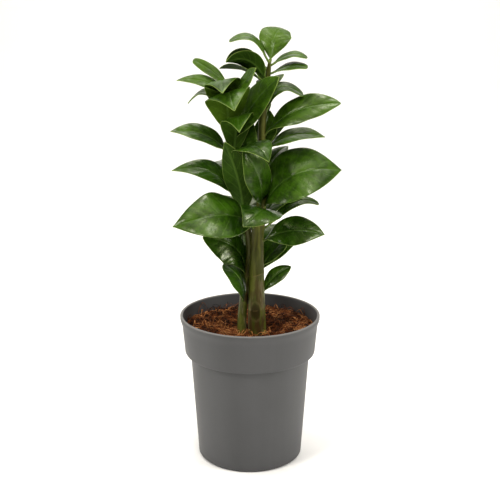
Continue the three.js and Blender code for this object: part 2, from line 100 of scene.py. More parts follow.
def skin(rings, start, end):
    """Closed skins over k stacks of n rings of m points, with a fan to a pole at each end.

    rings is (k, n, m, 3); start and end are (k, 3). Rings run anticlockwise seen from
    the end pole, so the faces point outwards.
    """
    k, n, m, _ = rings.shape
    points = np.concatenate([rings.reshape(k, n * m, 3), start[:, None], end[:, None]], axis=1)
    i, j = np.meshgrid(np.arange(n - 1), np.arange(m), indexing="ij")
    after = (j + 1) % m
    quads = np.stack([i * m + j, i * m + after, (i + 1) * m + after, (i + 1) * m + j], -1).reshape(-1, 4)
    around = np.arange(m)
    onward = (around + 1) % m
    foot = np.stack([np.full(m, n * m), onward, around], -1)
    head = np.stack([np.full(m, n * m + 1), (n - 1) * m + around, (n - 1) * m + onward], -1)
    shift = (np.arange(k) * (n * m + 2))[:, None, None]
    all_quads = (quads[None] + shift).reshape(-1, 4)
    all_fans = (np.concatenate([foot, head])[None] + shift).reshape(-1, 3)
    return points.reshape(-1, 3), all_quads.tolist() + all_fans.tolist()


def rounded(corners, steps=5):
    """An outline of (radius, height) whose corners carry arcs of the radius given as a third number."""
    outline = []
    for index, (r, z, fillet) in enumerate(corners):
        here = np.array([r, z], float)
        if fillet == 0 or index in (0, len(corners) - 1):
            outline.append(here)
            continue
        back = np.array(corners[index - 1][:2], float) - here
        onward = np.array(corners[index + 1][:2], float) - here
        back_way = back / np.linalg.norm(back)
        onward_way = onward / np.linalg.norm(onward)
        half = math.acos(np.clip(back_way @ onward_way, -1, 1)) / 2
        inset = min(fillet / math.tan(half), 0.49 * np.linalg.norm(back), 0.49 * np.linalg.norm(onward))
        for t in np.linspace(0, 1, steps + 1):
            outline.append(here + inset * ((1 - t) ** 2 * back_way + t**2 * onward_way))
    return np.array(outline)


def turned(outline, sides):
    """An outline of (radius, height) carried round the Z axis, ring by ring from its first point."""
    turn = np.arange(sides) * 2 * math.pi / sides
    r, z = outline[:, 0, None], outline[:, 1, None]
    rings = np.stack([r * np.cos(turn), r * np.sin(turn), z + 0 * turn], -1)
    return rings[None]


class Value:
    """A number or colour that varies over a surface. Its operators add the nodes that work it out."""

    def __init__(self, finish, socket):
        self.finish = finish
        self.socket = socket

    def maths(self, operation, *others):
        return self.finish.node("ShaderNodeMath", {"operation": operation}, self, *others)

    def __add__(self, other):
        return self.maths("ADD", other)

    __radd__ = __add__

    def __sub__(self, other):
        return self.maths("SUBTRACT", other)

    def __rsub__(self, other):
        return self.finish.node("ShaderNodeMath", {"operation": "SUBTRACT"}, other, self)

    def __mul__(self, other):
        return self.maths("MULTIPLY", other)

    __rmul__ = __mul__

    def size(self):
        return self.maths("ABSOLUTE")

    def wave(self):
        return self.maths("SINE")

    def between(self, low, high):
        """0 below low and 1 above high, eased in between; low may be the greater of the two."""
        kind = {"interpolation_type": "SMOOTHSTEP"}
        if low < high:
            return self.finish.node("ShaderNodeMapRange", kind, self, low, high, 0, 1)
        return self.finish.node("ShaderNodeMapRange", kind, self, high, low, 1, 0)

    def over(self, below, above):
        """The colour below where this is 0 and above where it is 1."""
        kind = {"data_type": "RGBA", "clamp_factor": True}
        return self.finish.node("ShaderNodeMix", kind, **{"Factor": self, "A": below, "B": above})


class Finish:
    """One material: a Principled shader and the nodes that feed it."""

    def __init__(self, name, **steady):
        self.material = bpy.data.materials.new(name)
        self.material.use_nodes = True
        self.tree = self.material.node_tree
        self.shader = self.tree.nodes["Principled BSDF"]
        for socket, number in steady.items():
            self.shader.inputs[socket.replace("_", " ")].default_value = number

    def node(self, kind, settings, *values, output=0, **named):
        made = self.tree.nodes.new(kind)
        for setting, choice in settings.items():
            setattr(made, setting, choice)
        usable = [socket for socket in made.inputs if socket.enabled]
        by_name = {socket.name: socket for socket in reversed(usable)}
        pairs = list(zip(usable, values))
        pairs += [(by_name[name.replace("_", " ")], value) for name, value in named.items()]
        for socket, value in pairs:
            self.feed(socket, value)
        outputs = [socket for socket in made.outputs if socket.enabled]
        return Value(self, outputs[output])

    def feed(self, socket, value):
        if isinstance(value, Value):
            self.tree.links.new(value.socket, socket)
        elif isinstance(value, tuple) and len(value) == 3 and socket.type == "RGBA":
            socket.default_value = (*value, 1)
        else:
            socket.default_value = value

    def place(self, scale=(1, 1, 1)):
        """Object coordinates in metres, scaled along each axis."""
        where = self.node("ShaderNodeTexCoord", {}, output=3)
        return self.node("ShaderNodeMapping", {}, where, (0, 0, 0), (0, 0, 0), scale)

    def noise(self, where, scale, detail=3.0, roughness=0.55):
        return self.node("ShaderNodeTexNoise", {}, where, Scale=scale, Detail=detail, Roughness=roughness)

    def stored(self, name):
        return self.node("ShaderNodeAttribute", {"attribute_name": name}, output=2)

    def show(self, colour=None, roughness=None, height=None, bump=(0.5, 0.001)):
        """Feeds the shader's colour and roughness, and its normal from a height and (strength, distance)."""
        if colour is not None:
            self.feed(self.shader.inputs["Base Color"], colour)
        if roughness is not None:
            self.feed(self.shader.inputs["Roughness"], roughness)
        if height is not None:
            strength, distance = bump
            normal = self.node("ShaderNodeBump", {}, Strength=strength, Distance=distance, Height=height)
            self.feed(self.shader.inputs["Normal"], normal)
        return self.material


collar_foot_z = POT_HEIGHT - COLLAR_HEIGHT
flare_foot_z = POT_HEIGHT - LIP_FLARE
pot_corners = [
    (0, 0, 0),
    (FOOT_R - FOOT_DRAFT, 0, FOOT_ROUND),
    (BODY_TOP_R, collar_foot_z, 0.5),
    (COLLAR_FOOT_R, collar_foot_z + SHOULDER_RISE, SHOULDER_ROUND),
    (COLLAR_TOP_R, flare_foot_z, 25),
    (LIP_R, POT_HEIGHT - 0.4 * LIP_FLARE, 9),
    (LIP_R, POT_HEIGHT, LIP_ROUND),
    (LIP_R - LIP_THICK, POT_HEIGHT, LIP_ROUND),
    (COLLAR_TOP_R - WALL, flare_foot_z, 9),
    (COLLAR_FOOT_R - WALL, collar_foot_z + INNER_STEP_HIGH, INNER_ROUND),
    (BODY_TOP_R - WALL, collar_foot_z + INNER_STEP_LOW, 1),
    (FOOT_R - WALL - FOOT_THICKER, FLOOR, INNER_ROUND),
    (0, FLOOR, 0),
]

# Rings across the flat floor keep its faces short where the drain holes are cut.
floor_radii = [(FOOT_R - 4) * share for share in (0.2, 0.5, 0.8)]
outline = np.concatenate([
    [(r, 0) for r in floor_radii],
    rounded(pot_corners)[1:-1],
    [(r, FLOOR) for r in floor_radii[::-1]],
])
middle = np.array([[0, 0, 0.0]])
pot = smooth_mesh("pot_shell", *skin(turned(outline, POT_SIDES), middle, middle + [0, 0, FLOOR]))
cutters = []
for hole in range(DRAIN_HOLES):
    turn = 2 * math.pi * hole / DRAIN_HOLES
    middle = np.array([[DRAIN_RING_R * math.cos(turn), DRAIN_RING_R * math.sin(turn), 0.0]])
    shaft = turned(np.array([(DRAIN_R, DRILL_LOW), (DRAIN_R, DRILL_HIGH)]), DRAIN_SIDES) + middle[0]
    shaft_ends = middle + [0, 0, DRILL_LOW], middle + [0, 0, DRILL_HIGH]
    cutter = smooth_mesh(f"drain_{hole}", *skin(shaft, *shaft_ends))
    bore = pot.modifiers.new("drain", "BOOLEAN")
    bore.object = cutter
    bore.operation = "DIFFERENCE"
    cutters.append(cutter)
pot_mesh = bpy.data.meshes.new_from_object(pot.evaluated_get(bpy.context.evaluated_depsgraph_get()))
pot.modifiers.clear()
pot.data = pot_mesh
for cutter in cutters:
    bpy.data.objects.remove(cutter)
pot_mesh.set_sharp_from_angle(angle=math.radians(40))

plastic = Finish("grey_moulded_plastic", Specular_IOR_Level=0.42)
streaks = plastic.noise(plastic.place((30, 30, 2.2)), 1.0, 4.0)
clouds = plastic.noise(plastic.place(), 24, 3.0)
grain = plastic.noise(plastic.place(), 1800, 2.0)
tone = streaks * 0.55 + clouds * 0.45
body_colour = tone.between(0.25, 0.75).over(*GREY)
plastic_height = plastic.node("ShaderNodeSeparateXYZ", {}, plastic.place(), output=2)
# Painted highlight: the top of the lip is mixed towards a paler grey.
lip_highlight = plastic_height.between((POT_HEIGHT - LIP_HIGHLIGHT_FROM) * MM, (POT_HEIGHT - LIP_HIGHLIGHT_FULL) * MM)
plastic_colour = (lip_highlight * 0.75).over(body_colour, PAINTED_LIP_HIGHLIGHT)
pot_finish = plastic.show(plastic_colour, 0.46 + 0.16 * clouds, grain, (0.12, 0.0002))
pot.data.materials.clear()
pot.data.materials.append(pot_finish)
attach(pot, "root")
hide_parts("pot")


# Potting mix
# A peat and coir mix fills the pot to just under the lip. Its top is a loose mat of
# curled red-brown coir fibres over dark crumbs, pressed in by hand round the stalks.
SOIL_Z = 124
SOIL_WALL_GAP = 0.45
SOIL_FLOOR_GAP = 0.4
SOIL_STEP_GAP = 0.7
SOIL_TOP_INSET = 0.7
SOIL_SIDES = 240
SOIL_TOP_RINGS = 80
SOIL_SUNK = 0.8
SOIL_ROUGH = 0.32
SOIL_RIPPLE = 0.4

# Each mound or hollow: its place (x, y), rise and width.
MOUNDS = [
    (-34, -22, 2.0, 12), (-8, -42, 1.4, 11), (24, -38, 1.6, 11), (43, -12, 1.4, 12),
    (36, 22, 2.4, 13), (10, 44, 2.2, 12), (-22, 34, 2.6, 12), (-46, 8, 2.0, 12),
    (-20, 8, 1.4, 9), (26, 6, 1.2, 9), (22, -16, -2.6, 8), (4, -27, -3.4, 13), (-42, 30, 1.4, 9),
]

# Half widths and lengths lie between two bounds. The lift is the shape and scale of a
# gamma draw, so that most fibres lie flat and a few stand up. Crumbs and fibres start
# MAT_SUNK under the height of the mix.
MAT_SUNK = 0.5
CRUMBS = 1500
CRUMB_SPREAD = 0.97
CRUMB_DENTS = (0.75, 1.2)
CRUMB_HALF = (0.5, 1.5)
CRUMB_SIDES = 5
CRUMB_LEVELS = (-0.75, 0, 0.75)
FIBRES = 2900
FIBRE_POINTS = 7
FIBRE_SIDES = 3
FIBRE_LENGTH = (7, 21)
FIBRE_HALF = (0.11, 0.36)
FIBRE_CURL = 1.5
FIBRE_KINK = 0.5
FIBRE_LIFT = (0.9, 1.9)
FIBRE_PILE = 0.9
FIBRE_START_GAP = 1.5
FIBRE_WALL_GAP = 0.6
EARTH = (0.006, 0.0025, 0.0012), (0.045, 0.013, 0.005)
COIR_RED = (0.009, 0.003, 0.001), (0.165, 0.042, 0.007)
COIR_PALE = (0.66, 0.29, 0.10)
draw = np.random.default_rng(41)


def soil_height(x, y):
    """Height of the mix: a level top with a fine even ripple, the product of two sines, and
    a bell curve for each mound or hollow, its rise times exp(-(distance / width)^2)."""
    height = SOIL_Z + SOIL_RIPPLE * np.sin(x * 0.9 + 1.3) * np.sin(y * 0.8 + 0.4)
    for mound_x, mound_y, rise, wide in MOUNDS:
        height = height + rise * np.exp(-((x - mound_x) ** 2 + (y - mound_y) ** 2) / wide**2)
    return height


soil_r = COLLAR_TOP_R - WALL - SOIL_TOP_INSET - SOIL_WALL_GAP
soil_foot_z = FLOOR + SOIL_FLOOR_GAP
soil_wall = [
    (FOOT_R - WALL - FOOT_THICKER - SOIL_WALL_GAP, soil_foot_z),
    (BODY_TOP_R - WALL - SOIL_WALL_GAP, collar_foot_z + INNER_STEP_LOW + SOIL_FLOOR_GAP),
    (COLLAR_FOOT_R - WALL - SOIL_WALL_GAP, collar_foot_z + INNER_STEP_HIGH + SOIL_STEP_GAP),
]
side_rings = turned(np.array(soil_wall), SOIL_SIDES)[0]
top_radii = soil_r * np.linspace(1, 0.01, SOIL_TOP_RINGS)
turn = np.arange(SOIL_SIDES) * 2 * math.pi / SOIL_SIDES
top_x = top_radii[:, None] * np.cos(turn)
top_y = top_radii[:, None] * np.sin(turn)
rough = draw.normal(0, SOIL_ROUGH, top_x.shape)
top_rings = np.stack([top_x, top_y, soil_height(top_x, top_y) - SOIL_SUNK + rough], -1)
soil_rings = np.concatenate([side_rings, top_rings])[None]
soil_points, soil_faces = skin(soil_rings, np.array([[0, 0, soil_foot_z]]), top_rings[-1].mean(0)[None])

# A crumb is a rough ball: rings at a few levels, each point pushed in or out at random.
crumb_r = soil_r * draw.uniform(0, 1, CRUMBS) ** 0.5 * CRUMB_SPREAD
crumb_turn = draw.uniform(0, 2 * math.pi, CRUMBS)
crumb_x = crumb_r * np.cos(crumb_turn)
crumb_y = crumb_r * np.sin(crumb_turn)
crumb_size = draw.uniform(*CRUMB_HALF, CRUMBS)
level = np.array(CRUMB_LEVELS)[:, None]
ring_turn = np.arange(CRUMB_SIDES) * 2 * math.pi / CRUMB_SIDES
lump = np.stack([
    np.sqrt(1 - level**2) * np.cos(ring_turn),
    np.sqrt(1 - level**2) * np.sin(ring_turn),
    level + 0 * ring_turn,
], -1)
dents = draw.uniform(*CRUMB_DENTS, (CRUMBS, len(CRUMB_LEVELS), CRUMB_SIDES, 1))
lumps = lump[None] * crumb_size[:, None, None, None] * dents
crumb_at = np.stack([crumb_x, crumb_y, soil_height(crumb_x, crumb_y) - MAT_SUNK], -1)
pole = np.array([0, 0, 1.0]) * crumb_size[:, None]
crumb_points, crumb_faces = skin(lumps + crumb_at[:, None, None], crumb_at - pole, crumb_at + pole)
crumb_faces = [[corner + len(soil_points) for corner in face] for face in crumb_faces]
mix = smooth_mesh("coir_mix", np.concatenate([soil_points, crumb_points]), soil_faces + crumb_faces)

# A fibre is a short curled path that starts at a random place and stays inside the pot.
steps = np.linspace(0, 1, FIBRE_POINTS)
fibre_length = draw.uniform(*FIBRE_LENGTH, FIBRES)
fibre_way = draw.uniform(0, 2 * math.pi, FIBRES)
fibre_curl = draw.normal(0, FIBRE_CURL, FIBRES)
fibre_kink = draw.normal(0, FIBRE_KINK, FIBRES)
fibre_r = (soil_r - FIBRE_START_GAP) * draw.uniform(0, 1, FIBRES) ** 0.52
fibre_turn = draw.uniform(0, 2 * math.pi, FIBRES)
fibre_lift = draw.gamma(*FIBRE_LIFT, FIBRES)
fibre_half = draw.uniform(*FIBRE_HALF, FIBRES)
way = fibre_way[:, None] + fibre_curl[:, None] * (steps - 0.5) + fibre_kink[:, None] * np.sin(9 * steps)
stride = fibre_length[:, None] / (len(steps) - 1)
path_x = fibre_r[:, None] * np.cos(fibre_turn)[:, None] + np.cumsum(np.cos(way) * stride, 1)
path_y = fibre_r[:, None] * np.sin(fibre_turn)[:, None] + np.cumsum(np.sin(way) * stride, 1)
path_r = np.hypot(path_x, path_y)
pull = np.minimum(1, (soil_r - FIBRE_WALL_GAP) / path_r)
path_x, path_y = path_x * pull, path_y * pull
path_z = soil_height(path_x, path_y) - MAT_SUNK + fibre_lift[:, None] * np.sin(math.pi * steps)
path_z += draw.uniform(0, FIBRE_PILE, (FIBRES, 1)) * (1 + 0 * steps)
paths = np.stack([path_x, path_y, path_z], -1)


def strands(paths, half_widths, sides):
    """Thin closed tubes: at each point a ring of the given half width stands square to the path."""
    run = np.gradient(paths, axis=1)
    run /= np.linalg.norm(run, axis=-1, keepdims=True)
    across = np.cross(run, [0, 0, 1.0])
    across /= np.linalg.norm(across, axis=-1, keepdims=True)
    rise = np.cross(across, run)
    spin = np.arange(sides) * 2 * math.pi / sides
    reach = across[:, :, None] * np.cos(spin)[:, None] - rise[:, :, None] * np.sin(spin)[:, None]
    rings = paths[:, :, None] + reach * half_widths[:, :, None, None]
    return skin(rings, paths[:, 0], paths[:, -1])


def keep(piece, name, values):
    """Stores one number for each point of a piece, which its material reads by this name."""
    attribute = piece.data.attributes.new(name, "FLOAT", "POINT")
    attribute.data.foreach_set("value", np.asarray(values, np.float32))


taper = 0.35 + 0.65 * np.sin(math.pi * (0.12 + 0.76 * steps))
fibres = smooth_mesh("coir_fibres", *strands(paths, fibre_half[:, None] * taper, FIBRE_SIDES))
keep(fibres, "shade", np.repeat(draw.uniform(0, 1, FIBRES), FIBRE_POINTS * FIBRE_SIDES + 2))

earth = Finish("dark_crumb", Specular_IOR_Level=0.12)
speck = earth.noise(earth.place(), 420, 4.0, 0.7)
patch = earth.noise(earth.place(), 70, 2.0)
earth_colour = (speck * 0.7 + patch * 0.3).between(0.38, 0.66).over(*EARTH)
mix.data.materials.append(earth.show(earth_colour, 0.88 + 0.1 * speck, speck, (0.8, 0.0008)))

coir = Finish("coir_fibre", Specular_IOR_Level=0.16)
fibre_shade = coir.stored("shade")
mottle = coir.noise(coir.place(), 320, 3.0)
clump = coir.noise(coir.place(), 75, 3.0).between(0.4, 0.6)
fibre_tone = fibre_shade * 0.5 + mottle * 0.2 + clump * 0.3
red_coir = fibre_tone.between(0.25, 0.6).over(*COIR_RED)
coir_colour = fibre_tone.between(0.55, 0.85).over(red_coir, COIR_PALE)
fibres.data.materials.append(coir.show(coir_colour, 0.55 + 0.3 * mottle, mottle, (0.4, 0.0003)))
for piece in (mix, fibres):
    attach(piece, "root")
    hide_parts("substrate")


# Rhizome
# The plant's tuber, like a small potato with short thick roots. It grew as one body,
# sits inside the mix and carries both stalks; its skin is dull, corky and pale brown.
CORK = (0.22, 0.12, 0.05), (0.5, 0.35, 0.18)
cork = Finish("rhizome_skin", Specular_IOR_Level=0.3)
scurf = cork.noise(cork.place(), 260, 5.0, 0.65)
bands = cork.noise(cork.place((60, 60, 260)), 1.0, 2.0)
cork_colour = (scurf * 0.6 + bands * 0.4).between(0.35, 0.65).over(*CORK)
cork_finish = cork.show(cork_colour, 0.7 + 0.2 * scurf, scurf, (0.6, 0.0008))
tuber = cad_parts["rhizome"]
tuber.data.materials.clear()
tuber.data.materials.append(cork_finish)


# Stalks
# Each frond is one swollen, upright leaf stalk, round and firm, olive green with pale streaks and brown
# blotches near the mix, where pale patches of painted sheen are added too, and ringed by a faint scar at each
# old joint.
MAIN_AXIS = [
    (6.5, -10, 96), (6.5, -10, 110), (6.5, -10, 124), (6, -8, 153), (6, -6, 182), (6.5, -5, 200),
    (7, -4, 214), (10, -3, 240), (11.5, -1, 273), (10.5, 0, 298), (11, 0, 318), (14, 0, 340), (17, 0, 368),
]

# Radius of a stalk at each height, as (height, radius).
MAIN_RADII = [
    (96, 8.7), (122, 8.5), (153, 7.7), (200, 6.3), (240, 4.7), (300, 3.6), (340, 2.6), (362, 2.1), (368, 1.4),
]
MAIN_SCARS = [147, 178, 226]
LEFT_AXIS = [
    (-7.6, -12, 96), (-7.6, -12, 110), (-7.6, -12, 124), (-7.2, -8, 140), (-4.5, 0, 160), (0, 5.5, 195),
    (-3, 3, 222), (-10, 0, 246), (-16, -4, 285), (-18, -5, 314), (-17.5, -5, 336), (-16, -4, 352),
]
LEFT_RADII = [(96, 4.3), (122, 4.3), (160, 4.1), (200, 3.4), (246, 3), (300, 2.6), (346, 1.9), (352, 1.3)]
LEFT_SCARS = [156, 226]
STALK_RINGS = 260
STALK_SIDES = 56

# A scar is a low ridge that slants to one side of the stalk by up to SCAR_SLANT.
SCAR_RISE = 0.3
SCAR_REACH = 1.6
SCAR_SLANT = 2.2
RIB_COUNTS = (3, 5, 9, 14)
RIB_SHARE = 0.022
RIB_WANDER = 0.8
FAR = 9  # the two end points of a stalk count as this far from every mark

# Each bud mark: height, angle round the stalk from +X, half width and half height.
MAIN_BUD = (144.5, math.radians(-99), 4.6, 7.2)
LEFT_BUD = (136, math.radians(60), 2.2, 3.5)
# The brown stain and the painted sheen both fade in from the first of these heights down to the second.
STAIN_AND_SHEEN_TOP = 230
STAIN_AND_SHEEN_FULL = 130
OLIVE = (0.030, 0.036, 0.003), (0.090, 0.100, 0.015)
BROWN_SMEAR = (0.042, 0.020, 0.006)
PAINTED_SHEEN = (0.19, 0.155, 0.085)
# A painted sheen: pale grey-tan patches low on the stalk.
BUD_DARK = (0.026, 0.018, 0.004)
BUD_RING = (0.14, 0.10, 0.045)
SCAR_PALE = (0.17, 0.115, 0.045)


def smooth_axis(points, steps=40):
    """A curve through the points (centripetal Catmull-Rom): each span is a cubic whose end
    slopes come from its neighbours, timed by the square root of their distances."""
    p = np.array(points, float)
    p = np.concatenate([[2 * p[0] - p[1]], p, [2 * p[-1] - p[-2]]])
    spans = []
    t = np.linspace(0, 1, steps, endpoint=False)[:, None]
    for a, b, c, d in zip(p[:-3], p[1:-2], p[2:-1], p[3:]):
        t0, t1, t2 = (np.linalg.norm(e) ** 0.5 for e in (b - a, c - b, d - c))
        slope_b = ((b - a) / t0 - (c - a) / (t0 + t1) + (c - b) / t1) * t1
        slope_c = ((c - b) / t1 - (d - b) / (t1 + t2) + (d - c) / t2) * t1
        spans.append(
            b + slope_b * t + (-3 * b + 3 * c - 2 * slope_b - slope_c) * t**2
            + (2 * b - 2 * c + slope_b + slope_c) * t**3
        )
    return np.concatenate(spans + [p[-2][None]])


def at_height(axis, z):
    """The points of an axis at the heights z."""
    return np.stack([np.interp(z, axis[:, 2], axis[:, k]) for k in range(3)], -1)


def thickness(radii, z):
    """The radius of a stalk at the height z."""
    return np.interp(z, [h for h, _ in radii], [r for _, r in radii])


def stalk(name, axis, radii, scars, bud, seed):
    """A round tube along the axis, swollen by a bell curve at each scar. Its faint ribs are
    a sum of sines of the angle that wander with height. Each point keeps its height from
    the nearest scar, and its distance from the bud mark as a share of that mark's size."""
    random = np.random.default_rng(seed)
    z = np.linspace(axis[0, 2], axis[-1, 2], STALK_RINGS)
    centre = at_height(axis, z)
    run = np.gradient(centre, axis=0)
    run /= np.linalg.norm(run, axis=1, keepdims=True)
    across = np.cross([0, 1.0, 0], run)
    across /= np.linalg.norm(across, axis=1, keepdims=True)
    front = np.cross(run, across)
    spin = np.arange(STALK_SIDES) * 2 * math.pi / STALK_SIDES
    lean = random.uniform(0, 2 * math.pi, len(scars))
    above = z[:, None, None] - np.array(scars) - SCAR_SLANT * np.sin(spin[:, None] + lean)
    nearest = np.argmin(np.abs(above), axis=2)[..., None]
    above = np.take_along_axis(above, nearest, axis=2)[..., 0]
    swell = SCAR_RISE * np.exp(-2 * (above / SCAR_REACH) ** 2)
    ribs = 0
    for count in RIB_COUNTS:
        phase = random.uniform(0, 2 * math.pi, 2)
        wander = RIB_WANDER * np.sin(z / random.uniform(18, 40) + phase[1])
        ribs = ribs + np.sin(count * spin[None] + phase[0] + wander[:, None]) / count
    radius = (thickness(radii, z)[:, None] + swell) * (1 + RIB_SHARE * ribs)
    reach = across[:, None] * np.cos(spin)[:, None] + front[:, None] * np.sin(spin)[:, None]
    rings = centre[:, None] + radius[..., None] * reach
    piece = smooth_mesh(name, *skin(rings[None], centre[:1], centre[-1:]))
    keep(piece, "scar", np.concatenate([above.reshape(-1), [FAR, FAR]]))
    bud_z, bud_turn, bud_wide, bud_tall = bud
    aside = (np.mod(spin - bud_turn + math.pi, 2 * math.pi) - math.pi) * thickness(radii, bud_z)
    from_bud = np.hypot(aside[None] / bud_wide, (z[:, None] - bud_z) / bud_tall)
    keep(piece, "bud", np.concatenate([from_bud.reshape(-1), [FAR, FAR]]))
    return piece


rind = Finish("stalk_rind", Specular_IOR_Level=0.34, Specular_Tint=(1.0, 0.97, 0.62, 1))
long_streak = rind.noise(rind.place((260, 260, 18)), 1.0, 4.0, 0.6)
smear = rind.noise(rind.place((120, 120, 32)), 1.0, 4.0, 0.6)
patch_noise = rind.noise(rind.place((210, 210, 30)), 1.0, 3.0, 0.6)
fine = rind.noise(rind.place(), 900, 3.0)
height = rind.node("ShaderNodeSeparateXYZ", {}, rind.place(), output=2)
low_down = height.between(STAIN_AND_SHEEN_TOP * MM, STAIN_AND_SHEEN_FULL * MM)
scar = rind.stored("scar")
scar_line = scar.size().between(0.8, 0.15) * patch_noise.between(0.38, 0.52)
bud = rind.stored("bud") + (patch_noise - 0.5) * 1.3
bud_ring = (bud - 1.15).size().between(0.3, 0.05) * smear.between(0.36, 0.5)
green = long_streak.between(0.36, 0.66).over(*OLIVE)
browned = (smear.between(0.48, 0.6) * (0.2 + 0.65 * low_down)).over(green, BROWN_SMEAR)
# Painted sheen: pale patches mixed in low on the stalk.
sheened = (patch_noise.between(0.52, 0.64) * low_down * 0.5).over(browned, PAINTED_SHEEN)
spotted = (bud.between(1.1, 0.55) * 0.9).over(sheened, BUD_DARK)
ringed = (bud_ring * 0.3).over(spotted, BUD_RING)
rind_colour = (scar_line * 0.45).over(ringed, SCAR_PALE)
rind_relief = long_streak * 0.6 + smear * 0.4 + fine * 0.3
rind_finish = rind.show(rind_colour, 0.28 + 0.26 * smear, rind_relief, (0.35, 0.0004))

main_axis = smooth_axis(MAIN_AXIS)
left_axis = smooth_axis(LEFT_AXIS)
main_stalk = stalk("stalk_main", main_axis, MAIN_RADII, MAIN_SCARS, MAIN_BUD, 3)
left_stalk = stalk("stalk_left", left_axis, LEFT_RADII, LEFT_SCARS, LEFT_BUD, 8)


# Leaflets
# Thick waxy leaflets on short necks, all grown from the stalk. Each arches off its
# root, is sunk along the midrib on top and keeled beneath, and has a pale thin margin.
BLADE_EDGE = 0.6
BLADE_MIDDLE = 1.3
NECK_HALF = 1.4
NECK_THICK = 2.4
NECK_SHARE = 0.07
CUP = 0.14
TIP_HALF = 0.4
ROOT_SUNK = 2.2
BLUNT_SHIFT = 0.3
BLUNT_FILL = 0.42
VEIN_PAIRS = 7.5
VEIN_SLANT = 1.5
LEAF_RINGS = 45

# The points of a ring, from the midrib at 0 to the edge near 1.
ACROSS_STEPS = (0, 0.03, 0.07, 0.13, 0.21, 0.31, 0.43, 0.56, 0.69, 0.81, 0.9, 0.96, 0.99)

# The rings crowd towards root and tip, and the blade has its whole turn from TURNED_BY
# on. The other sizes below are shares of the half width, or millimetres.
END_CROWDING = 0.05
TURNED_BY = 0.25
EDGE_WAVE = 0.012
EDGE_RIPPLE = 0.035
PUCKER = 0.18
FULL_PUCKER_WIDTH = 40
GROOVE_DEPTH = 0.32
GROOVE_REACH = 0.8
KEEL_DEPTH = 0.55
KEEL_REACH = 1.0

# Leaflets that grow higher up are younger and fresher green.
OLDEST_Z = 200
YOUNGEST_Z = 370
TOP_OLD = (0.005, 0.022, 0.0003), (0.022, 0.070, 0.0012)
TOP_YOUNG = (0.012, 0.039, 0.0006), (0.043, 0.100, 0.003)
# The paler underside pair is painted light: a lighter green that stands in for light shining through the
# leaflets.
UNDER_DARK = (0.006, 0.026, 0.0004), (0.014, 0.046, 0.001)
UNDER_PAINTED_LIGHT = (0.040, 0.090, 0.0015), (0.072, 0.145, 0.005)
TOP_VEIN = (0.06, 0.13, 0.02)
TOP_MIDRIB = (0.08, 0.16, 0.025)
UNDER_VEIN = (0.08, 0.17, 0.02)
UNDER_KEEL = (0.10, 0.19, 0.03)
FRECKLE = (0.18, 0.26, 0.09)
NECK_OLIVE = (0.12, 0.16, 0.035)
MARGIN_PALE = (0.24, 0.34, 0.07)

# Each row: height of the root on the stalk, tip (x, y, z), blade width, rise of the
# midrib over its chord (share of the length), turn of the blade about the midrib and
# fold of its halves (degrees), where the rise peaks (1 is the middle, more is nearer the
# tip), sideways sweep (share of the length) and bluntness (0 is drawn to a point).
MAIN_LEAFLETS = [
    (368, (29, 24, 396), 29, 0.2, 16, 4, 1.5, 0, 1.6),
    (369, (-18, -2, 386), 16, 0.3, -20, 10, 1.3, 0, 1.5),
    (365, (50, 0, 372), 19, 0.17, 14, 10, 1.3, 0, 1.5),
    (360, (-21, 10, 369), 22, 0.25, 30, 12, 1.2, 0, 0.5),
    (353, (-21, -6, 369), 25, 0.23, 40, 12, 1.2, 0, 0.4),
    (358, (50, -6, 364), 19, 0.11, 18, 10, 1.3, 0, 1.5),
    (350, (-27, 13, 362), 24, 0.12, 18, 12, 1.2, 0, 0.5),
    (322, (47, 2, 339), 25, 0.4, 16, 12, 1.3, 0, 1.6),
    (302, (79, -12, 334), 29, 0.13, 50, 10, 0.9, 0, 0.6),
    (289, (66, -8, 304), 28, 0.15, 20, 12, 1, 0, 0.1),
    (289, (18, 12, 325), 22, 0.06, 10, 10, 1, 0, 0.3),
    (268, (35, 25, 291), 22, 0.12, 0, 14, 1, 0, 0.2),
    (237, (81, -10, 275), 60, 0.22, 42, 12, 0.96, 0.15, 0.22),
    (236, (-6, -24, 294), 29, 0.04, -106, 10, 1, -0.12, 0.7),
    (237, (-6, -46, 232), 40, 0.2, -10, 8, 1.1, -0.22, 0.2),
    (219, (63, 8, 240), 15, 0.19, 24, 14, 1.6, 0, 1.6),
    (219, (-68, -30, 228), 51, 0.19, -41, 11, 0.81, -0.15, -0.06),
    (208, (67, -14, 217), 30, 0.12, 52, 8, 1, 0, 0.2),
    (182, (37, 20, 209), 20, 0.03, 10, 12, 1, 0, 0.2),
    (158, (38, 4, 182), 16, 0.11, 40, 10, 1, -0.01, 0.8),
    (176, (41, 44, 212), 40, 0.14, 16, 12, 1, 0, 0.3),
    (222, (44, 44, 245), 38, 0.16, -8, 10, 1, 0, 0.2),
    (258, (2, 56, 286), 38, 0.15, 12, 12, 1, 0, 0.2),
    (286, (32, 44, 312), 31, 0.2, -14, 12, 1, 0, 0.3),
    (312, (-2, 46, 334), 31, 0.2, 16, 12, 1, 0, 0.3),
    (332, (24, 42, 350), 26, 0.24, -10, 12, 1, 0, 0.4),
    (346, (-2, 36, 362), 22, 0.22, 10, 12, 1, 0, 0.4),
]
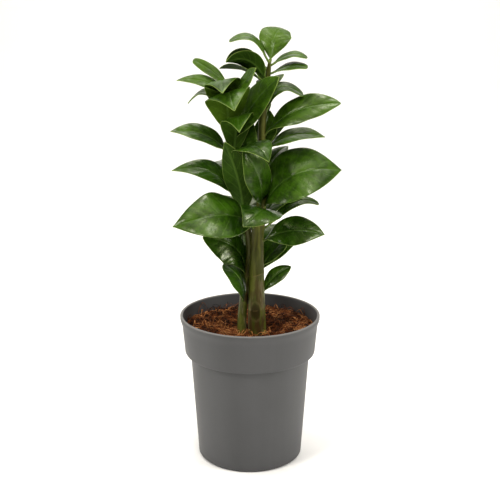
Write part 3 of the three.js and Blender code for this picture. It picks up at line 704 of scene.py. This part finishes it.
LEFT_LEAFLETS = [
    (341, (-50, 5, 370), 12, 0.09, -45, 10, 0.85, 0.03, 1.6),
    (337, (-64, -4, 353), 17, 0.14, -32, 14, 1, 0, 0.1),
    (340, (5, -34, 366), 19, 0, 68, 10, 1, -0.05, 0.1),
    (325, (-55, 6, 332), 21, 0.34, -12, 14, 1.3, 0, 0.3),
    (312, (-23, -44, 346), 33, 0.5, 12, 6, 1.3, 0.1, 0.3),
    (304, (-13, -48, 332), 42, 0.52, 16, 6, 1.3, 0.06, 0.3),
    (294, (25, -16, 357), 31, 0.08, 55, 8, 1, -0.05, 0.6),
    (290, (16, -44, 288), 35, 0.21, 10, 10, 1.5, 0, 0.2),
    (284, (-9, -48, 314), 31, 0.46, 14, 6, 1.3, -0.05, 0.2),
    (286, (-70, -8, 309), 26, 0.15, -30, 14, 1, 0, 0.2),
    (241, (-70, -2, 273), 27, 0.22, -34, 14, 1, 0, 0.1),
    (229, (-22, -21, 302), 29, 0, 20, 14, 1, -0.06, 0.3),
    (262, (2, 4, 318), 30, 0.06, 50, 10, 1, 0, 0.3),
    (166, (-43, -5.6, 212), 42, 0.26, -54, 9, 0.91, 0.06, 0.9),
    (148, (-24, -6, 188), 33, 0.19, -22, 7, 0.9, -0.13, 1.2),
    (208, (-10, 60, 241), 34, 0.15, -12, 10, 1, 0, 0.2),
    (176, (-28, 56, 191), 36, 0.16, 12, 12, 1, 0, 0.3),
    (214, (-46, 34, 238), 36, 0.16, -16, 12, 1, 0, 0.3),
    (256, (-30, 42, 274), 33, 0.18, -12, 12, 1, 0, 0.3),
    (298, (-18, 44, 316), 29, 0.2, 14, 12, 1, 0, 0.3),
    (322, (-34, 32, 336), 24, 0.22, -10, 12, 1, 0, 0.4),
]


def leaflet_rings(axis, radii, row, random):
    """One leaflet as rings from root to tip, each running round the blade's section.

    s is 0 at the root and 1 at the tip, and v runs from -1 to 1 across the blade. The
    midrib is the chord plus a hump square to it, arch * length * 4 t (1 - t), where t is s
    to the power of the skew. The half width follows a power of a sine of the way along.
    The two faces stand off the fold and cup of the blade by half its thickness, the upper
    one sunk and the lower one keeled along the midrib, and both puckered by the veins.
    """
    root_z, tip, width, arch, roll, fold, skew, sweep, blunt = row
    tip = np.array(tip, float)
    on_axis = at_height(axis, root_z)
    out = (tip - on_axis) * [1, 1, 0]
    root = on_axis + out / np.linalg.norm(out) * max(0, thickness(radii, root_z) - ROOT_SUNK)
    length = np.linalg.norm(tip - root)
    chord = (tip - root) / length
    rise = np.array([0, 0, 1.0]) - chord[2] * chord
    rise /= np.linalg.norm(rise)
    aside = np.cross(chord, rise)

    def midrib(s):
        t = s**skew
        hump = arch * length * 4 * t * (1 - t)
        swing = sweep * length * 4 * s * (1 - s)
        return root + np.outer(s * length, chord) + np.outer(hump, rise) + np.outer(swing, aside)

    s = np.linspace(0, 1, LEAF_RINGS)
    s = s - END_CROWDING * np.sin(2 * math.pi * s)
    centre = midrib(s)
    run = midrib(np.minimum(s + 1e-3, 1)) - midrib(np.maximum(s - 1e-3, 0))
    run /= np.linalg.norm(run, axis=1, keepdims=True)
    side = aside - (run @ aside)[:, None] * run
    side /= np.linalg.norm(side, axis=1, keepdims=True)
    up = np.cross(side, run)
    turn = np.radians(roll) * np.minimum(s / TURNED_BY, 1)[:, None]
    up, side = up * np.cos(turn) + side * np.sin(turn), side * np.cos(turn) - up * np.sin(turn)

    t = np.clip((s - NECK_SHARE) / (1 - NECK_SHARE), 0, 1)
    fullness = (0.76 + 0.22 * t) * (1 - BLUNT_FILL * blunt * t)
    swell = np.maximum(0, np.sin(math.pi * t ** (0.95 + BLUNT_SHIFT * blunt))) ** fullness
    half_width = np.maximum(width / 2 * swell, np.where(s < NECK_SHARE * 1.2, NECK_HALF, TIP_HALF))
    neck = np.maximum(0, 1 - s / (3 * NECK_SHARE))

    # The ring runs over the top from edge to edge and back beneath; face is 1 on top,
    # -1 beneath and 0 on the two edges.
    half_steps = np.array(ACROSS_STEPS)
    top_steps = np.concatenate([-half_steps[:0:-1], half_steps])
    v = np.concatenate([top_steps, top_steps[-1:0:-1] * 0.998])[None]
    face = np.concatenate([np.ones(len(top_steps)), -np.ones(len(top_steps) - 1)])[None]
    face[0, [0, len(top_steps) - 1]] = 0
    across = np.abs(v)
    along = s[:, None]
    waves = random.uniform(1.6, 2.8)
    phase = random.uniform(0, 2 * math.pi, 2)
    edge_wave = EDGE_WAVE * np.sin(2 * math.pi * 3.1 * along + phase[0]) * np.sign(v)
    half = half_width[:, None] * (1 + edge_wave)
    ripple_turn = 2 * math.pi * waves * along + phase[1] + np.sign(v)
    ripple = EDGE_RIPPLE * half * across**3 * np.sin(ripple_turn)
    vein_turn = 2 * math.pi * (VEIN_PAIRS * along - VEIN_SLANT * across)
    pucker_size = PUCKER * np.clip(width / FULL_PUCKER_WIDTH, 0.3, 1) * np.sin(math.pi * t)[:, None]
    pucker = pucker_size * np.sin(vein_turn) * (across * (1 - across) * 4) ** 0.7
    off = half * (across * math.sin(math.radians(fold)) - CUP * v**2) + ripple + pucker

    blade = BLADE_EDGE + (BLADE_MIDDLE - BLADE_EDGE) * (1 - across**1.5) * (1 - 0.5 * along)
    thick = blade + (NECK_THICK - blade) * neck[:, None] * (1 - 0.5 * v**2)
    thick = thick * np.sqrt(np.clip(1 - across**10, 0, 1))
    body = np.clip(t * 8, 0, 1)[:, None] * np.clip((1 - t) * 6, 0, 1)[:, None]
    groove = GROOVE_DEPTH * np.exp(-((across * half / GROOVE_REACH) ** 2)) * body
    keel = KEEL_DEPTH * np.exp(-((across * half / KEEL_REACH) ** 2)) * body * (1 - 0.6 * along)
    stand = face * thick / 2 - np.where(face > 0, groove, 0) - np.where(face < 0, keel, 0)
    level_way = half * v * math.cos(math.radians(fold))
    points = centre[:, None] + level_way[..., None] * side[:, None] + (off + stand)[..., None] * up[:, None]
    data = {
        "across": np.broadcast_to(v, half.shape),
        "along": np.broadcast_to(along, half.shape),
        "face": np.broadcast_to(face, half.shape),
        "half": half,
    }
    return points, data


def foliage(name, axis, radii, rows, painted_light_under, seed):
    """All leaflets of one frond in one mesh, with each point's place on its blade kept with it."""
    random = np.random.default_rng(seed)
    made = [leaflet_rings(axis, radii, row, random) for row in rows]
    rings = np.stack([points for points, _ in made])
    points, faces = skin(rings, rings[:, 0].mean(1), rings[:, -1].mean(1))
    piece = smooth_mesh(name, points, faces)
    ends = {"across": (0, 0), "along": (0, 1), "face": (0, 0), "half": (NECK_HALF, TIP_HALF)}
    for key, root_and_tip in ends.items():
        on_rings = np.stack([data[key].reshape(-1) for _, data in made])
        at_ends = np.tile(root_and_tip, (len(rows), 1))
        keep(piece, key, np.concatenate([on_rings, at_ends], 1).reshape(-1))
    per_leaflet = rings.shape[1] * rings.shape[2] + 2
    heights = np.array([row[0] for row in rows])
    height_share = np.clip((heights - OLDEST_Z) / (YOUNGEST_Z - OLDEST_Z), 0, 1)
    young = height_share * 0.8 + random.uniform(-0.15, 0.2, len(rows))
    keep(piece, "young", np.repeat(young, per_leaflet))
    keep(piece, "painted_light_under", np.full(len(rows) * per_leaflet, painted_light_under))
    return piece


wax = Finish("waxy_leaf", Specular_IOR_Level=0.34, Specular_Tint=(0.78, 1.0, 0.28, 1), Coat_Roughness=0.2)
along = wax.stored("along")
side_place = wax.stored("across")
across = side_place.size()
upper = wax.stored("face").between(-0.6, 0.6)
young = wax.stored("young")
half_mm = wax.stored("half")
cloud = wax.noise(wax.place(), 55, 3.0, 0.5)
fleck = wax.noise(wax.place(), 620, 3.0, 0.6)
mottle = wax.noise(wax.place(), 210, 4.0, 0.65)
tone = (cloud * 0.5 + mottle * 0.5).between(0.38, 0.62)
satin = wax.noise(wax.place(), 90, 5.0, 0.6).between(0.36, 0.56)
vein_wave = ((along * VEIN_PAIRS - across * VEIN_SLANT) * 2 * math.pi).wave()
vein = vein_wave.between(-0.86, -1.0) * across.between(0.04, 0.16) * across.between(0.98, 0.8)
from_midrib = across * half_mm
midrib = from_midrib.between(1.0, 0.35) * along.between(0.99, 0.8)
keel_line = from_midrib.between(1.5, 0.6) * along.between(1.0, 0.75)
margin = ((1 - across) * half_mm).between(0.75, 0.15) * along.between(0.05, 0.15)
top_green = young.between(0.0, 1.0).over(tone.over(*TOP_OLD), tone.over(*TOP_YOUNG))
top_veined = (vein * 0.10).over(top_green, TOP_VEIN)
top_ribbed = (midrib * 0.32).over(top_veined, TOP_MIDRIB)
# Painted light: where the frond's share is set, the undersides of middle-aged leaflets are painted paler, as
# if lit through.
pale = young.between(0.25, 0.55) * wax.stored("painted_light_under")
under_green = pale.over(tone.over(*UNDER_DARK), tone.over(*UNDER_PAINTED_LIGHT))
under_veined = (vein * 0.2).over(under_green, UNDER_VEIN)
under_ribbed = (keel_line * 0.35).over(under_veined, UNDER_KEEL)
two_faced = upper.over(under_ribbed, top_ribbed)
freckled = (fleck.between(0.62, 0.75) * 0.18).over(two_faced, FRECKLE)
neck_toned = along.between(0.10, 0.02).over(freckled, NECK_OLIVE)
leaf_colour = (margin * 0.7).over(neck_toned, MARGIN_PALE)
leaf_rough = 0.68 + 0.1 * fleck - upper * (0.2 + 0.26 * satin) * (1 - 0.45 * young)
leaf_relief = vein * -0.5 + fleck * 0.3 + mottle * 0.9 - midrib * 0.5
wax.feed(wax.shader.inputs["Coat Weight"], upper * (0.04 + 0.5 * satin) * (1 - 0.7 * young))
leaf_finish = wax.show(leaf_colour, leaf_rough, leaf_relief, (0.5, 0.0006))

# The left frond's undersides get the painted light in full; the main frond's keep the darker green, which
# stands for their shade.
main_leaves = foliage("leaflets_main", main_axis, MAIN_RADII, MAIN_LEAFLETS, 0.05, 17)
left_leaves = foliage("leaflets_left", left_axis, LEFT_RADII, LEFT_LEAFLETS, 1.0, 29)
for piece, coat, node, slot in (
    (main_stalk, rind_finish, "frond_main", "main_foliage"),
    (main_leaves, leaf_finish, "frond_main", "main_foliage"),
    (left_stalk, rind_finish, "frond_left", "left_foliage"),
    (left_leaves, leaf_finish, "frond_left", "left_foliage"),
):
    piece.data.materials.append(coat)
    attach(piece, "root")
    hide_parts(node)


# Setting
# A white floor that curves up into a white wall, large soft lights, and a camera just
# above the plant's top that looks 15 degrees down on it, as in a plain product
# picture. The sizes here are in metres.
FLOOR_FRONT = -3.0
FLOOR_BACK = 1.6
FLOOR_HALF = 3.5
FLOOR_COLUMNS = 8
FLOOR_DROP = 0.0005
BEND_R = 0.8
BEND_STEPS = 16
WALL_TOP = 4.0
PAPER_WHITE = (0.93, 0.93, 0.93)
SKY_STRENGTH = 0.05
LAMP_WHITE = (1.0, 0.965, 0.90)
CAMERA_AT = (0, -0.862, 0.430)
CAMERA_TILT = 75
LENS_MM = 70.1
SENSOR_MM = 36

bend = np.linspace(0, math.pi / 2, BEND_STEPS)
floor_y = np.concatenate([[FLOOR_FRONT], FLOOR_BACK + BEND_R * np.sin(bend), [FLOOR_BACK + BEND_R]])
floor_z = np.concatenate([[0.0], BEND_R - BEND_R * np.cos(bend), [WALL_TOP]]) - FLOOR_DROP
floor_x = np.linspace(-FLOOR_HALF, FLOOR_HALF, FLOOR_COLUMNS)
floor_rows = np.stack([
    np.broadcast_to(floor_x, (len(floor_y), FLOOR_COLUMNS)),
    np.broadcast_to(floor_y[:, None], (len(floor_y), FLOOR_COLUMNS)),
    np.broadcast_to(floor_z[:, None], (len(floor_y), FLOOR_COLUMNS)),
], -1)
i, j = np.meshgrid(np.arange(len(floor_y) - 1), np.arange(FLOOR_COLUMNS - 1), indexing="ij")
corner = i * FLOOR_COLUMNS + j
floor_faces = np.stack([corner, corner + 1, corner + FLOOR_COLUMNS + 1, corner + FLOOR_COLUMNS], -1)
floor = smooth_mesh("floor", floor_rows.reshape(-1, 3) / MM, floor_faces.reshape(-1, 4).tolist())
paper = Finish("white_floor", Specular_IOR_Level=0.1)
floor.data.materials.append(paper.show(PAPER_WHITE, 0.9))

world = bpy.data.worlds.new("studio")
world.use_nodes = True
world.node_tree.nodes["Background"].inputs["Color"].default_value = (1.0, 1.0, 1.0, 1)
world.node_tree.nodes["Background"].inputs["Strength"].default_value = SKY_STRENGTH
bpy.context.scene.world = world


def soft_light(name, where, aim, size, power):
    """A square area light at a place, turned to face the point it is aimed at."""
    lamp = bpy.data.lights.new(name, "AREA")
    lamp.size = size
    lamp.energy = power
    lamp.color = LAMP_WHITE
    light = bpy.data.objects.new(name, lamp)
    towards = np.array(aim) - np.array(where)
    light.location = where
    light.rotation_euler = (
        math.atan2(math.hypot(towards[0], towards[1]), -towards[2]),
        0,
        math.atan2(towards[0], -towards[1]) + math.pi,
    )
    bpy.context.scene.collection.objects.link(light)


# Each light: its place, the point it faces, the length of its side and its power in watts.
soft_light("left", (-0.95, -0.8, 1.3), (0, 0, 0.25), 0.4, 14)
soft_light("front", (0.25, -1.1, 1.4), (0, 0, 0.25), 0.4, 7.5)
soft_light("right", (1.3, -0.5, 0.9), (0, 0, 0.2), 0.5, 13)
soft_light("left_low", (-1.5, 0.25, 0.4), (0, 0, 0.1), 0.6, 6)
soft_light("top", (-0.15, -0.2, 1.9), (0, 0, 0.25), 0.35, 9)
soft_light("overhead", (0, 0.3, 2.2), (0, 0.3, 0), 2.4, 28)
soft_light("backdrop", (0, 1.0, 2.4), (0, 2.4, 0.4), 1.6, 30)

camera_data = bpy.data.cameras.new("camera")
camera_data.lens = LENS_MM
camera_data.sensor_width = SENSOR_MM
camera = bpy.data.objects.new("camera", camera_data)
camera.location = CAMERA_AT
camera.rotation_euler = (math.radians(CAMERA_TILT), 0, 0)
bpy.context.scene.collection.objects.link(camera)
bpy.context.scene.camera = camera
bpy.context.scene.view_settings.view_transform = "Standard"
